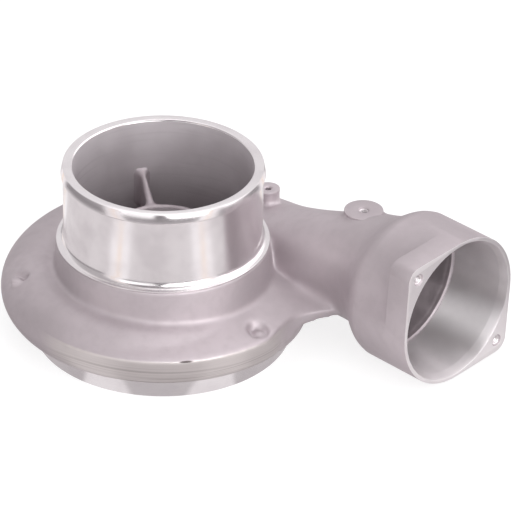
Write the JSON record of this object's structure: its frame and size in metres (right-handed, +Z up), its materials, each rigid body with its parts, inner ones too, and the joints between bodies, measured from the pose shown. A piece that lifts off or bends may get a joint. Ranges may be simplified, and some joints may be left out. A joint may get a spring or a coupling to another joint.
{
  "type": "turbo compressor housing",
  "caption": "Cast aluminium turbo compressor housing with a round hose inlet, ported shroud, scroll and flanged side outlet.",
  "frame": {"origin": "on the inlet axis, in the plane of the base's end face", "axes": "+Z up the inlet axis, out of the inlet; +X out of the discharge outlet, which lies beside the inlet axis at +Y"},
  "size_m": [0.3073, 0.2563, 0.1304],
  "materials": {
    "cast_aluminium": "as-cast matte, with turned bright faces at the inlet, outlet and base"
  },
  "bodies": {
    "root": {"compressor_housing": "cast_aluminium"}
  },
  "joints": []
}
